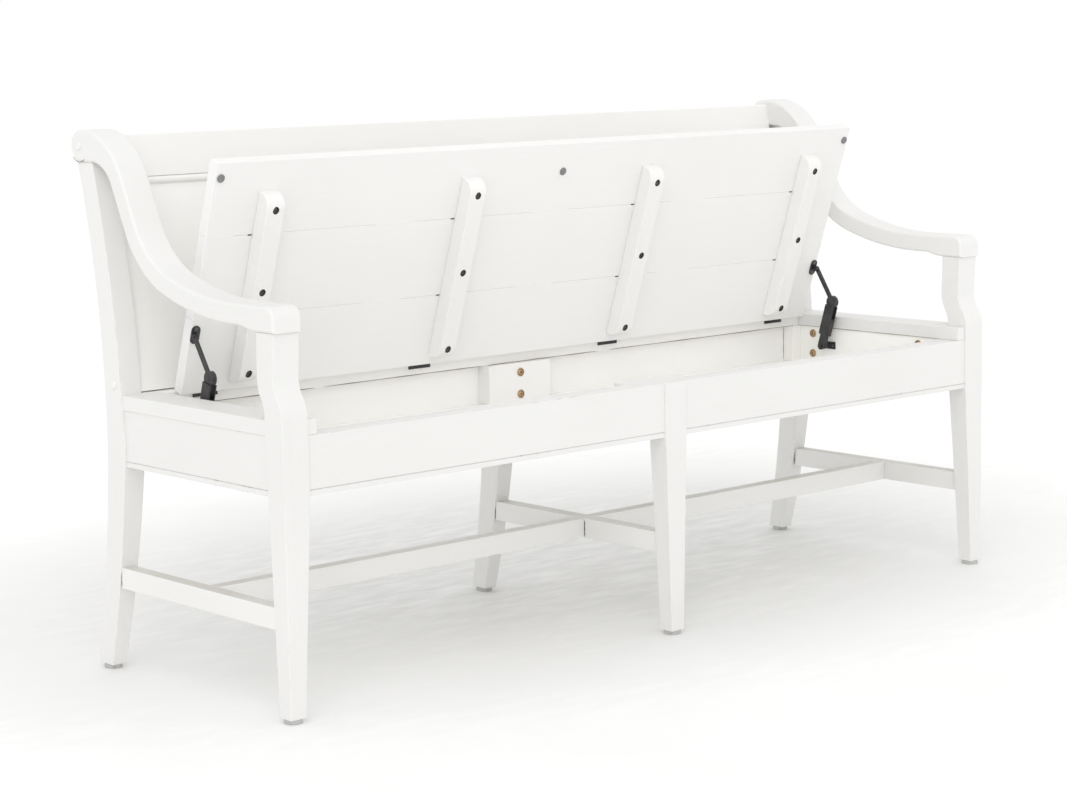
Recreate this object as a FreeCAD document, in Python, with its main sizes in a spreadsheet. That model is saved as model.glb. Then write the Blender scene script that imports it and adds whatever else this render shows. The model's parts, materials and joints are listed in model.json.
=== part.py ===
"""A six-legged storage bench with a hinged lid, scrolled arms and a raked back.

The row frame has +X along the bench, +Y towards the back and +Z up. The origin is on
the floor below the middle of the bench. The lid stands open, as its two folding stays
hold it. All sizes are millimetres and come from the sheet of driving dimensions.
"""
import FreeCAD, Part
import math
import os
import sys

import Sketcher
from FreeCAD import Placement, Rotation, Vector

SIZES = {
    # whole bench
    "bench_length": 1700.0,
    "bench_depth": 568.0,
    "edge_round": 1.5,
    # legs and posts
    "leg_width": 50.0,
    "leg_depth": 46.0,
    "foot_width": 30.0,
    "glide_height": 7.0,
    "glide_radius": 15.0,
    "post_set_back": 21.0,
    "post_rear_step": 17.0,
    "ogee_bottom": 478.0,
    "ogee_height": 62.0,
    "arm_bottom": 612.0,
    "rear_width": 40.0,
    "rear_foot_width": 28.0,
    "rear_front_face": 443.0,
    "rear_leg_depth": 53.0,
    "rear_waist": 390.0,
    "rear_foot_kick": 50.0,
    "rear_foot_depth": 38.0,
    "rear_top_depth": 44.0,
    # seat box
    "apron_bottom": 356.0,
    "apron_top": 451.0,
    "apron_recess": 4.0,
    "front_apron_thick": 42.0,
    "side_apron_thick": 40.0,
    "rear_apron_thick": 24.0,
    "bead_rise": 8.0,
    "bead_groove": 2.0,
    "end_board_thick": 24.0,
    "floor_thick": 12.0,
    "cleat_size": 20.0,
    "cleat_rise": 10.0,
    "block_width": 152.0,
    "block_depth": 32.0,
    "corner_block_width": 25.0,
    "corner_block_depth": 26.0,
    # seat boards and lid
    "seat_board": 25.0,
    "opening_half": 780.0,
    "rail_front": 422.0,
    "hinge_line": 420.5,
    "hinge_height": 478.6,
    "lid_half": 766.0,
    "lid_thick": 22.0,
    "lid_lift": 3.0,
    "lid_depth": 409.5,
    "lid_open": 71.8,
    "rear_plank": 135.0,
    "middle_plank": 145.0,
    "batten_width": 36.0,
    "batten_thick": 30.0,
    "batten_round": 24.0,
    "batten_start": 18.0,
    "batten_end": 357.0,
    "outer_batten": 656.0,
    "inner_batten": 220.0,
    "outer_hinge": 701.0,
    "inner_hinge": 234.0,
    # back
    "rake": 10.5,
    "back_foot": 453.0,
    "panel_thick": 12.0,
    "panel_top": 361.0,
    "top_rail_thick": 26.0,
    "top_rail_proud": 5.0,
    "back_top": 434.0,
    # arms
    "arm_inner": 797.0,
    "arm_width": 56.0,
    "arm_thick": 34.0,
    "arm_nose": 13.0,
    "arm_level": 636.0,
    "arm_rise_start": 120.0,
    "arm_gentle_radius": 540.0,
    "arm_gentle_turn": 20.0,
    "arm_tight_radius": 170.0,
    "arm_slope": 64.5,
    "arm_straight": 84.0,
    "scroll_radius": 26.5,
    "post_top": 860.0,
    "arm_round": 5.0,
    # stretchers
    "stretcher_bottom": 146.0,
    "stretcher_height": 36.0,
    "stretcher_thick": 26.0,
    "long_stretcher_front": 225.0,
    # lid stays
    "stay_pivot_y": 342.0,
    "stay_pivot_z": 416.0,
    "elbow_y": 314.0,
    "elbow_z": 508.0,
    "boss_along": 109.5,
    "boss_off": 7.0,
    "stay_half_width": 11.5,
    "case_gap": 8.0,
    "case_length": 64.0,
    "case_slot": 27.0,
    "cam_radius": 12.5,
    "pin_clearance": 0.05,
}

doc = FreeCAD.newDocument("StorageBench")
sheet = doc.addObject("Spreadsheet::Sheet", "Dims")
for row, (alias, amount) in enumerate(SIZES.items(), start=1):
    sheet.set("A%d" % row, alias)
    sheet.set("B%d" % row, repr(amount))
    sheet.setAlias("B%d" % row, alias)
doc.recompute()


class Size:
    """A measure: its value, and the formula over the sheet that gives it."""

    def __init__(self, value, text):
        self.value = value
        self.text = text

    def __add__(self, other):
        other = size(other)
        return Size(self.value + other.value, "(%s + %s)" % (self.text, other.text))

    def __sub__(self, other):
        other = size(other)
        return Size(self.value - other.value, "(%s - %s)" % (self.text, other.text))

    def __mul__(self, other):
        other = size(other)
        return Size(self.value * other.value, "(%s * %s)" % (self.text, other.text))

    def __truediv__(self, other):
        other = size(other)
        return Size(self.value / other.value, "(%s / %s)" % (self.text, other.text))

    def __radd__(self, other):
        return size(other) + self

    def __rsub__(self, other):
        return size(other) - self

    def __rmul__(self, other):
        return size(other) * self

    def __neg__(self):
        return size(0) - self


def size(amount):
    """Turn a plain number into a Size; a Size stays as it is."""
    if isinstance(amount, Size):
        return amount
    return Size(float(amount), repr(float(amount)))


def sine(angle):
    return Size(math.sin(math.radians(angle.value)), "sin(%s * 1 deg)" % angle.text)


def cosine(angle):
    return Size(math.cos(math.radians(angle.value)), "cos(%s * 1 deg)" % angle.text)


class Cells:
    """Gives each driving dimension as a Size, read from the sheet by its alias."""

    def __getattr__(self, alias):
        return Size(float(sheet.get(alias)), "Dims." + alias)


d = Cells()
NODES = {}


def bind(item, prop, amount):
    item.setExpression(prop, size(amount).text)


def bind_base(item, place):
    for axis, amount in zip("xyz", place):
        bind(item, "Placement.Base." + axis, amount)


def depth(distance):
    """Y of a point at this distance behind the front legs' front faces."""
    return size(distance) - d.bench_depth / 2


def span(side, inner, outer):
    """The X range of a piece that lies between two distances on one side (-1 or 1)."""
    if side > 0:
        return size(inner), size(outer)
    return -size(outer), -size(inner)


def box(name, x, y, z):
    """A board; each of x, y and z is its (low, high) pair."""
    item = doc.addObject("Part::Box", name)
    for prop, (low, high) in zip(("Length", "Width", "Height"), (x, y, z)):
        bind(item, prop, size(high) - low)
    bind_base(item, [low for low, high in (x, y, z)])
    return item


TURNS = {
    "x": Rotation(Vector(0, 1, 0), 90),
    "y": Rotation(Vector(1, 0, 0), -90),
    "z": Rotation(),
}


def rod(name, axis, start, radius, length):
    """A cylinder that runs from start along one of the row's axes."""
    item = doc.addObject("Part::Cylinder", name)
    item.Placement = Placement(Vector(), TURNS[axis])
    bind(item, "Radius", radius)
    bind(item, "Height", length)
    bind_base(item, start)
    return item


def arc_between(first, last, radius):
    """An arc of a circle from first to last; a positive radius turns left."""
    chord = last - first
    reach = math.sqrt(max(radius * radius - chord.Length ** 2 / 4, 0.0))
    left = Vector(-chord.y, chord.x, 0).normalize()
    centre = (first + last) * 0.5 + left * math.copysign(reach, radius)
    begin, end = (first, last) if radius > 0 else (last, first)
    angles = [math.atan2((p - centre).y, (p - centre).x) for p in (begin, end)]
    circle = Part.Circle(centre, Vector(0, 0, 1), abs(radius))
    return Part.ArcOfCircle(circle, angles[0], angles[1])


def draw(sketch, outline):
    """Draw a closed outline of (u, v) or (u, v, radius of the arc to the next point)."""
    points = [Vector(size(p[0]).value, size(p[1]).value, 0) for p in outline]
    count = len(outline)
    ends = []
    for i, point in enumerate(outline):
        first, last = points[i], points[(i + 1) % count]
        if len(point) == 2:
            sketch.addGeometry(Part.LineSegment(first, last))
            ends.append((1, 2))
        else:
            radius = size(point[2]).value
            sketch.addGeometry(arc_between(first, last, radius))
            ends.append((1, 2) if radius > 0 else (2, 1))
    for i, point in enumerate(outline):
        after = (i + 1) % count
        sketch.addConstraint(Sketcher.Constraint("Coincident", i, ends[i][1], after, ends[after][0]))
        for kind, amount in zip(("DistanceX", "DistanceY"), point):
            limit = Sketcher.Constraint(kind, -1, 1, i, ends[i][0], size(amount).value)
            index = sketch.addConstraint(limit)
            bind(sketch, "Constraints[%d]" % index, amount)
        if len(point) == 3:
            radius = size(point[2])
            index = sketch.addConstraint(Sketcher.Constraint("Radius", i, abs(radius.value)))
            bind(sketch, "Constraints[%d]" % index, radius if radius.value > 0 else -radius)


def prism(name, plane, outline, reach):
    """A body padded from an outline on a body plane over a (low, high) reach along its normal."""
    low, high = reach
    body = doc.addObject("PartDesign::Body", name)
    sketch = body.newObject("Sketcher::SketchObject", name + "_outline")
    base = [feature for feature in body.Origin.OriginFeatures if feature.Role == plane][0]
    sketch.AttachmentSupport = [(base, "")]
    sketch.MapMode = "FlatFace"
    draw(sketch, outline)
    pad = body.newObject("PartDesign::Pad", name + "_pad")
    pad.Profile = sketch
    pad.Reversed = plane == "XZ_Plane"
    bind(pad, "Length", size(high) - low)
    along = {"YZ_Plane": "x", "XZ_Plane": "y", "XY_Plane": "z"}[plane]
    bind(body, "Placement.Base." + along, low)
    return body


def ogee(start, end, first_turn):
    """Two equal tangent arcs between two upright stretches; returns outline points."""
    across = end[0] - start[0]
    rise = end[1] - start[1]
    shift = across if across.value > 0 else -across
    radius = (across * across + rise * rise) / (4 * shift)
    middle = ((start[0] + end[0]) / 2, (start[1] + end[1]) / 2)
    return [(*start, first_turn * radius), (*middle, -first_turn * radius)]


def boolean(kind, name, base, tool):
    item = doc.addObject("Part::" + kind, name)
    item.Base = base
    item.Tool = tool
    return item


def group(name, pieces, frame=None):
    """Separate solids as one object; frame is the (base, angle about X) it is moved by."""
    item = doc.addObject("Part::Compound", name)
    item.Links = pieces
    if frame:
        base, angle = frame
        item.Placement = Placement(Vector(), Rotation(Vector(1, 0, 0), 1))
        bind_base(item, base)
        bind(item, "Placement.Rotation.Angle", angle)
    return item


def drilled(name, base, holes):
    return boolean("Cut", name, base, group(name + "_holes", holes))


def fitted(name, board, neighbours):
    """A board trimmed to the shapes of the pieces it butts against."""
    for i, neighbour in enumerate(neighbours):
        board = boolean("Cut", "%s_trim_%d" % (name, i), board, neighbour)
    return board


def eased(name, base, chosen=None, radius=None):
    """Round the edges of a solid; chosen picks edges, and all of them are rounded without it."""
    doc.recompute()
    amount = radius or d.edge_round.value
    edges = [(i, amount, amount) for i, edge in enumerate(base.Shape.Edges, start=1)
             if chosen is None or chosen(edge)]
    item = doc.addObject("Part::Fillet", name)
    item.Base = base
    item.Edges = edges
    return item


def node(label, item):
    item.Label = label
    NODES[label] = item
    return item


SIDES = {"left": -1, "right": 1}
HALF = d.bench_length / 2
POST_SCRIBE = 12
BACK_FRAME = ((0, depth(d.back_foot), d.apron_top + d.seat_board), -d.rake)
LID_FRAME = ((0, depth(d.hinge_line), d.hinge_height), -d.lid_open)
LID_UNDER = d.apron_top + d.lid_lift - d.hinge_height
LID_REAR = -(d.rail_front - d.hinge_line)


# ---------------------------------------------------------------- legs, posts and arms

def front_leg_rear(height):
    """Depth of a front leg's sloping rear face at a height above the floor."""
    part_way = (height - d.glide_height) / (d.apron_top - d.glide_height)
    return depth(d.foot_width + (d.leg_depth - d.foot_width) * part_way)


def front_end_leg(label, side):
    """A tapered leg that runs on above the seat as the arm's post, set back by an ogee."""
    front_low = (depth(0), d.ogee_bottom)
    front_high = (depth(d.post_set_back), d.ogee_bottom + d.ogee_height)
    rear_low = (depth(d.leg_depth), d.ogee_bottom)
    rear_high = (depth(d.leg_depth + d.post_rear_step), d.ogee_bottom + d.ogee_height)
    side_view = [
        (depth(0), d.glide_height),
        (depth(d.foot_width), d.glide_height),
        (depth(d.leg_depth), d.apron_top),
        *ogee(rear_low, rear_high, -1),
        rear_high,
        (depth(d.leg_depth + d.post_rear_step - 2), d.arm_bottom),
        (depth(d.post_set_back - 4), d.arm_bottom),
        *ogee(front_high, front_low, -1),
        front_low,
    ]
    inner = HALF - d.leg_width
    front_view = [
        (side * HALF, d.glide_height),
        (side * HALF, d.arm_bottom),
        (side * inner, d.arm_bottom),
        (side * inner, d.apron_bottom),
        (side * (HALF - d.foot_width), d.glide_height),
    ]
    blank = prism(label + "_side", "YZ_Plane", side_view, span(side, inner - 1, HALF + 1))
    taper = prism(label + "_front", "XZ_Plane", front_view, (depth(-10), depth(100)))
    return boolean("Common", label + "_blank", blank, taper)


def front_middle_leg():
    side_view = [
        (depth(0), d.glide_height),
        (depth(d.foot_width), d.glide_height),
        (depth(d.leg_depth), d.apron_top),
        (depth(0), d.apron_top),
    ]
    wide, narrow = d.leg_width / 2, d.foot_width / 2
    front_view = [
        (-narrow, d.glide_height),
        (narrow, d.glide_height),
        (wide, d.apron_bottom),
        (wide, d.apron_top),
        (-wide, d.apron_top),
        (-wide, d.apron_bottom),
    ]
    blank = prism("front_leg_middle_side", "YZ_Plane", side_view, (-d.leg_width, d.leg_width))
    taper = prism("front_leg_middle_front", "XZ_Plane", front_view, (depth(-10), depth(100)))
    return boolean("Common", "front_leg_middle_blank", blank, taper)


FRONT_KICK_RADIUS = 2100
REAR_KICK_RADIUS = 2300
FRONT_RAKE_RADIUS = 2050
REAR_RAKE_RADIUS = 1714


def rear_post_outline(top):
    """Side view of a rear leg; with a top it runs on as the raked post of the back."""
    front = depth(d.rear_front_face)
    rear = depth(d.rear_front_face + d.rear_leg_depth)
    foot_rear = rear + d.rear_foot_kick
    foot = [
        (rear, d.rear_waist, REAR_KICK_RADIUS),
        (foot_rear, d.glide_height),
        (foot_rear - d.rear_foot_depth, d.glide_height, -FRONT_KICK_RADIUS),
    ]
    if top is None:
        return foot + [(front, d.rear_waist), (front, d.apron_top), (rear, d.apron_top)]
    return foot + [
        (front, d.rear_waist, -FRONT_RAKE_RADIUS),
        (top, d.post_top),
        (top + d.rear_top_depth, d.post_top, REAR_RAKE_RADIUS),
    ]


def rear_post(label, side):
    inner = HALF - d.rear_width
    front_view = [
        (side * HALF, d.glide_height),
        (side * HALF, d.post_top),
        (side * inner, d.post_top),
        (side * inner, d.apron_bottom),
        (side * (HALF - d.rear_foot_width), d.glide_height),
    ]
    outline = rear_post_outline(ARM_POINTS["flat_start"])
    blank = prism(label + "_side", "YZ_Plane", outline, span(side, inner - 1, HALF + 1))
    taper = prism(label + "_front", "XZ_Plane", front_view, (depth(300), depth(700)))
    return boolean("Common", label + "_blank", blank, taper)


def rear_middle_leg():
    wide, narrow = d.rear_width / 2, d.rear_foot_width / 2
    front_view = [
        (-narrow, d.glide_height),
        (narrow, d.glide_height),
        (wide, d.apron_bottom),
        (wide, d.apron_top),
        (-wide, d.apron_top),
        (-wide, d.apron_bottom),
    ]
    blank = prism("rear_leg_middle_side", "YZ_Plane", rear_post_outline(None),
                  (-d.rear_width, d.rear_width))
    taper = prism("rear_leg_middle_front", "XZ_Plane", front_view, (depth(300), depth(700)))
    return boolean("Common", "rear_leg_middle_blank", blank, taper)


def arm_points():
    """The points of the arm's centre line, and where its underside levels out on the post."""
    half = d.arm_thick / 2
    start = (depth(d.arm_rise_start), d.arm_level)
    gentle, tight = d.arm_gentle_radius, d.arm_tight_radius
    sin1, cos1 = sine(d.arm_gentle_turn), cosine(d.arm_gentle_turn)
    sin2, cos2 = sine(d.arm_slope), cosine(d.arm_slope)
    first = (start[0] + gentle * sin1, start[1] + gentle * (1 - cos1))
    second = (first[0] + tight * (sin2 - sin1), first[1] + tight * (cos1 - cos2))
    third = (second[0] + d.arm_straight * cos2, second[1] + d.arm_straight * sin2)
    under = (third[0] + half * sin2, third[1] - half * cos2)
    under_radius = (d.post_top - under[1]) / (1 - cos2)
    return {
        "first": first, "second": second, "third": third, "half": half,
        "turn1": (sin1, cos1), "turn2": (sin2, cos2),
        "under_radius": under_radius, "flat_start": under[0] + under_radius * sin2,
    }


ARM_POINTS = arm_points()


def below(point, turn):
    """The point on the arm's underside that is square to this centre-line point."""
    return point[0] + ARM_POINTS["half"] * turn[0], point[1] - ARM_POINTS["half"] * turn[1]


def above(point, turn):
    return point[0] - ARM_POINTS["half"] * turn[0], point[1] + ARM_POINTS["half"] * turn[1]


def arm_outline():
    """Side view of an arm: level at the front, swept up and rolled over the rear post."""
    a = ARM_POINTS
    half = a["half"]
    low, high = d.arm_level - half, d.arm_level + half
    nose = depth(d.arm_nose)
    nose_round = 20
    bottom = d.arm_bottom
    ogee_start, ogee_end = depth(62), depth(112)
    ogee_run, ogee_rise = ogee_end - ogee_start, low - bottom
    ogee_radius = (ogee_run * ogee_run + ogee_rise * ogee_rise) / (4 * ogee_rise)
    scroll = depth(d.bench_depth - d.scroll_radius)
    scroll_mid = d.post_top + d.scroll_radius
    scroll_top = d.post_top + 2 * d.scroll_radius
    roll_start = scroll - 16
    roll_radius, roll_turn = size(80), size(21)
    crown = (roll_start - roll_radius * sine(roll_turn),
             scroll_top - roll_radius * (1 - cosine(roll_turn)))
    shoulder = above(a["third"], a["turn2"])
    run, drop = crown[0] - shoulder[0], crown[1] - shoulder[1]
    chord = math.hypot(run.value, drop.value)
    lean = math.degrees(math.atan2(drop.value, run.value))
    crown_radius = chord / 2 / math.sin(math.radians(d.arm_slope.value - lean))
    return [
        (nose, bottom),
        (ogee_start, bottom, ogee_radius),
        ((ogee_start + ogee_end) / 2, (bottom + low) / 2, -ogee_radius),
        (ogee_end, low),
        (depth(d.arm_rise_start), low, d.arm_gentle_radius + half),
        (*below(a["first"], a["turn1"]), d.arm_tight_radius + half),
        below(a["second"], a["turn2"]),
        (*below(a["third"], a["turn2"]), -a["under_radius"]),
        (a["flat_start"], d.post_top),
        (scroll, d.post_top, d.scroll_radius),
        (scroll + d.scroll_radius, scroll_mid, d.scroll_radius),
        (scroll, scroll_top),
        (roll_start, scroll_top, roll_radius),
        (*crown, crown_radius),
        shoulder,
        (*above(a["second"], a["turn2"]), half - d.arm_tight_radius),
        (*above(a["first"], a["turn1"]), half - d.arm_gentle_radius),
        (depth(d.arm_rise_start), high),
        (nose + nose_round, high, nose_round),
        (nose, high - nose_round),
    ]


def on_side_face(edge):
    """True for an edge that lies in a plane of constant X."""
    return edge.BoundBox.XLength < 0.01


def arm(label, side):
    reach = span(side, d.arm_inner, d.arm_inner + d.arm_width)
    blank = prism(label + "_blank", "YZ_Plane", arm_outline(), reach)
    return eased(label, blank, on_side_face, d.arm_round.value)


def foot_glides():
    """A round glide under each of the six legs."""
    outer = HALF - d.foot_width / 2
    rear_outer = HALF - d.rear_foot_width / 2
    front = depth(d.foot_width / 2)
    rear = depth(d.rear_front_face + d.rear_leg_depth + d.rear_foot_kick - d.rear_foot_depth / 2)
    places = [(-outer, front), (size(0), front), (outer, front),
              (-rear_outer, rear), (size(0), rear), (rear_outer, rear)]
    glides = []
    for i, (x, y) in enumerate(places):
        disc = rod("glide_%d_disc" % i, "z", (x, y, 0), d.glide_radius, d.glide_height)
        glides.append(eased("glide_%d" % i, disc, None, 1.0))
    return group("foot_glides", glides)


def bolt_caps():
    """Domed caps on the outer faces, at each scroll's centre and at seat height on each post."""
    cap_radius, cap_thick = 7, 3
    scroll = (depth(d.bench_depth - d.scroll_radius), d.post_top + d.scroll_radius)
    post = (depth(d.rear_front_face + 24), size(493))
    caps = []
    for name, side in SIDES.items():
        for spot, face, (y, z) in (("scroll", d.arm_inner + d.arm_width, scroll), ("post", HALF, post)):
            low, high = span(side, face, face + cap_thick)
            title = "cap_%s_%s" % (spot, name)
            disc = rod(title + "_disc", "x", (low, y, z), cap_radius, cap_thick)
            outer_x = (high if side > 0 else low).value
            rim = (lambda edge, at=outer_x:
                   abs(edge.BoundBox.XMin - at) < 0.01 and edge.BoundBox.XLength < 0.01)
            caps.append(eased(title, disc, rim, 2.0))
    return group("bolt_caps", caps)


# ---------------------------------------------------------------- seat box

def front_apron(label, side):
    """A board between two front legs, with a quirk line cut above its lower edge."""
    front = depth(d.apron_recess)
    rear = depth(d.apron_recess + d.front_apron_thick)
    quirk = d.apron_bottom + d.bead_rise
    outline = [
        (front, d.apron_bottom),
        (rear, d.apron_bottom),
        (rear, d.apron_top),
        (front, d.apron_top),
        (front, quirk + d.bead_groove),
        (front + d.bead_groove, quirk + d.bead_groove / 2),
        (front, quirk),
    ]
    return prism(label, "YZ_Plane", outline, span(side, d.leg_width / 2, HALF - d.leg_width))


def side_apron(label, side, neighbours):
    """The apron between a front leg and a rear post, drilled for the end wall's bolts."""
    outer = HALF - d.apron_recess
    inner = outer - d.side_apron_thick
    quirk = d.apron_bottom + d.bead_rise
    outline = [
        (side * outer, d.apron_bottom),
        (side * outer, quirk),
        (side * (outer - d.bead_groove), quirk + d.bead_groove / 2),
        (side * outer, quirk + d.bead_groove),
        (side * outer, d.apron_top),
        (side * inner, d.apron_top),
        (side * inner, d.apron_bottom),
    ]
    reach = (depth(d.foot_width), depth(d.rear_front_face + POST_SCRIBE))
    board = prism(label + "_board", "XZ_Plane", outline, reach)
    low, high = span(side, inner - 1, inner + d.bead_groove * 10 + 1)
    holes = [rod("%s_hole_%d" % (label, i), "x", (low, *place), BOLT_RADIUS + 0.1, high - low)
             for i, place in enumerate(end_bolt_places())]
    return drilled(label, fitted(label, board, neighbours), holes)


def rear_apron(label, side):
    y = (depth(d.rear_front_face), depth(d.rear_front_face + d.rear_apron_thick))
    x = span(side, d.rear_width / 2, HALF - d.rear_width)
    return eased(label, box(label + "_board", x, y, (d.apron_bottom, d.apron_top)))


SEAT_TOP = d.apron_top + d.seat_board


def side_seat_rail(label, side, post):
    """A seat board beside the lid, let in round the front post and flush with the apron."""
    inner, outer = d.opening_half, HALF - 2
    leg_inner = HALF - d.leg_width
    outline = [
        (side * inner, depth(d.apron_recess)),
        (side * leg_inner, depth(d.apron_recess)),
        (side * leg_inner, depth(d.leg_depth)),
        (side * outer, depth(d.leg_depth)),
        (side * outer, depth(d.rear_front_face + POST_SCRIBE)),
        (side * (HALF - d.rear_width), depth(d.rear_front_face + POST_SCRIBE)),
        (side * (HALF - d.rear_width), depth(d.rear_front_face)),
        (side * inner, depth(d.rear_front_face)),
    ]
    board = prism(label + "_board", "XY_Plane", outline, (d.apron_top, SEAT_TOP))
    return fitted(label, eased(label + "_round", board), [post])


def rear_seat_rail():
    """The fixed seat board behind the lid, which carries the hinges and the back."""
    inner, outer = d.opening_half, HALF - d.rear_width
    front, notch = depth(d.rail_front), depth(d.rear_front_face)
    rear = depth(d.rear_front_face + d.rear_apron_thick)
    outline = [
        (-inner, front), (inner, front), (inner, notch), (outer, notch),
        (outer, rear), (-outer, rear), (-outer, notch), (-inner, notch),
    ]
    board = prism("rear_seat_rail_board", "XY_Plane", outline, (d.apron_top, SEAT_TOP))
    round_board = eased("rear_seat_rail_round", board)
    holes = []
    for title, x in hinge_places():
        for shift in HINGE_SCREWS:
            start = (x + shift, depth(d.rail_front) - 1, HINGE_SCREW_Z)
            holes.append(rod("%s_pilot_%d" % (title, shift), "y", start, SCREW_SHANK + 0.1, 12))
    return drilled("rear_seat_rail", round_board, holes)


FLOOR_TOP = d.apron_bottom + d.cleat_rise + d.floor_thick
INSIDE_FRONT = d.apron_recess + d.front_apron_thick
END_INNER = HALF - d.apron_recess - d.side_apron_thick - d.end_board_thick


def box_floor():
    y = (depth(INSIDE_FRONT), depth(d.rear_front_face))
    half = END_INNER + d.end_board_thick
    return box("box_floor", (-half, half), y, (FLOOR_TOP - d.floor_thick, FLOOR_TOP))


def floor_cleats():
    """Strips under the floor, along the front and rear aprons."""
    half = END_INNER
    z = (d.apron_bottom, d.apron_bottom + d.cleat_rise)
    front = depth(INSIDE_FRONT)
    rear = depth(d.rear_front_face)
    cleats = [
        box("cleat_front", (-half, half), (front, front + d.cleat_size), z),
        box("cleat_rear", (-half, half), (rear - d.cleat_size, rear), z),
    ]
    return group("floor_cleats", cleats)


BOLT_ROWS = (Size(392.0, "392.0"), Size(433.0, "433.0"))
END_BOLT_ROWS = (Size(396.0, "396.0"), Size(437.0, "437.0"))
BOLT_RADIUS = 4
BOLT_HEAD = 8
END_BOLT_DEPTHS = (105, 383)


def end_bolt_places():
    return [(depth(y), z) for y in END_BOLT_DEPTHS for z in END_BOLT_ROWS]


def box_end(label, side):
    """The inner end wall of the storage box, bolted to the side apron."""
    x = span(side, END_INNER, END_INNER + d.end_board_thick)
    y = (depth(INSIDE_FRONT), depth(d.rear_front_face))
    board = box(label + "_board", x, y, (FLOOR_TOP, d.apron_top))
    holes = [rod("%s_hole_%d" % (label, i), "x", (x[0] - 1, *place), BOLT_RADIUS + 0.1, d.end_board_thick + 2)
             for i, place in enumerate(end_bolt_places())]
    return drilled(label, board, holes)


def centre_block(label, y, bolt_start):
    """A block inside the box that ties a middle leg to its aprons."""
    half = d.block_width / 2
    block = eased(label + "_round", box(label + "_board", (-half, half), y, (FLOOR_TOP, d.apron_top)))
    holes = [rod("%s_hole_%d" % (label, i), "y", (0, bolt_start, z), BOLT_RADIUS + 0.1, d.block_depth + 4)
             for i, z in enumerate(BOLT_ROWS)]
    return drilled(label, block, holes)


def corner_blocks():
    """Upright glue blocks in the box's two rear corners."""
    rear = depth(d.rear_front_face)
    blocks = []
    for name, side in SIDES.items():
        x = span(side, END_INNER - d.corner_block_width, END_INNER)
        y = (rear - d.corner_block_depth, rear)
        board = box("corner_%s_board" % name, x, y, (FLOOR_TOP, d.apron_top))
        blocks.append(eased("corner_block_" + name, board))
    return group("corner_blocks", blocks)


def bolt(name, axis, place, way, shank):
    """A round-headed bolt; way is the side of its head along the axis."""
    thick = 2.5
    socket = 3.0
    x, y, z = place
    along = {"x": 0, "y": 1}[axis]

    def shifted(low):
        start = [x, y, z]
        start[along] = start[along] + low
        return start

    head_low = -thick if way < 0 else 0
    stem_low = 0 if way < 0 else -shank
    head = rod(name + "_head", axis, shifted(head_low), BOLT_HEAD, thick)
    stem = rod(name + "_stem", axis, shifted(stem_low), BOLT_RADIUS, shank)
    whole = boolean("Fuse", name + "_whole", head, stem)
    key_low = -thick - 1 if way < 0 else thick - 1.5
    key = rod(name + "_socket", axis, shifted(key_low), socket, 2.5)
    return boolean("Cut", name, whole, key)


def frame_bolts():
    """Bolts through the box's end walls into the side aprons, and through the rear block."""
    bolts = []
    for name, side in SIDES.items():
        for i, (y, z) in enumerate(end_bolt_places()):
            bolts.append(bolt("end_bolt_%s_%d" % (name, i), "x", (side * END_INNER, y, z), -side, 44))
    rear = depth(d.rear_front_face) - d.block_depth
    front = depth(INSIDE_FRONT) + d.block_depth
    for i, z in enumerate(BOLT_ROWS):
        bolts.append(bolt("rear_bolt_%d" % i, "y", (size(0), rear, z), -1, 52))
        bolts.append(bolt("front_bolt_%d" % i, "y", (size(0), front, z), 1, 52))
    return group("frame_bolts", bolts)


def drilled_leg(label, leg, start):
    holes = [rod("%s_hole_%d" % (label, i), "y", (0, start, z), BOLT_RADIUS + 0.1, 24)
             for i, z in enumerate(BOLT_ROWS)]
    return drilled(label, leg, holes)


# ---------------------------------------------------------------- back

def back_panel():
    half = HALF - d.rear_width
    lift = d.panel_thick * sine(d.rake) + 0.1
    board = box("back_panel_board", (-half, half), (0, d.panel_thick), (lift, d.panel_top))
    return group("back_panel", [board], BACK_FRAME)


def back_top_rail():
    """The top rail, between the arms' scrolls, with a tongue into each post below them."""
    half, tongue = d.arm_inner, HALF - d.rear_width
    tongue_top = d.panel_top + 22
    outline = [
        (-tongue, d.panel_top), (tongue, d.panel_top), (tongue, tongue_top), (half, tongue_top),
        (half, d.back_top), (-half, d.back_top), (-half, tongue_top), (-tongue, tongue_top),
    ]
    reach = (-d.top_rail_proud, d.top_rail_thick - d.top_rail_proud)
    board = prism("top_rail_board", "XZ_Plane", outline, reach)
    long_edge = lambda edge: edge.BoundBox.XLength > 1000 and edge.BoundBox.ZMin > d.back_top.value - 1
    return group("back_top_rail", [eased("top_rail_round", board, long_edge, 3.0)], BACK_FRAME)


def back_bead():
    """A rounded moulding under the top rail."""
    half = HALF - d.rear_width
    low, high = d.panel_top - 13, d.panel_top
    outline = [(size(0), low), (size(0), high), (size(-2), high, 7), (size(-2), low)]
    return group("back_bead", [prism("bead_strip", "YZ_Plane", outline, (-half, half))], BACK_FRAME)


# ---------------------------------------------------------------- stretchers

STRETCHER_INSET = 2
STRETCHER_Z = (d.stretcher_bottom, d.stretcher_bottom + d.stretcher_height)


STRETCHER_Y = (depth(d.foot_width), depth(d.rear_front_face + 30))


def side_stretcher(label, side, legs):
    x = span(side, HALF - STRETCHER_INSET - d.stretcher_thick, HALF - STRETCHER_INSET)
    board = box(label + "_board", x, STRETCHER_Y, STRETCHER_Z)
    return eased(label, fitted(label, board, legs))


def middle_stretcher(legs):
    half = d.stretcher_thick / 2 + STRETCHER_INSET
    board = box("middle_stretcher_board", (-half, half), STRETCHER_Y, STRETCHER_Z)
    return eased("middle_stretcher", fitted("middle_stretcher", board, legs))


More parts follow.
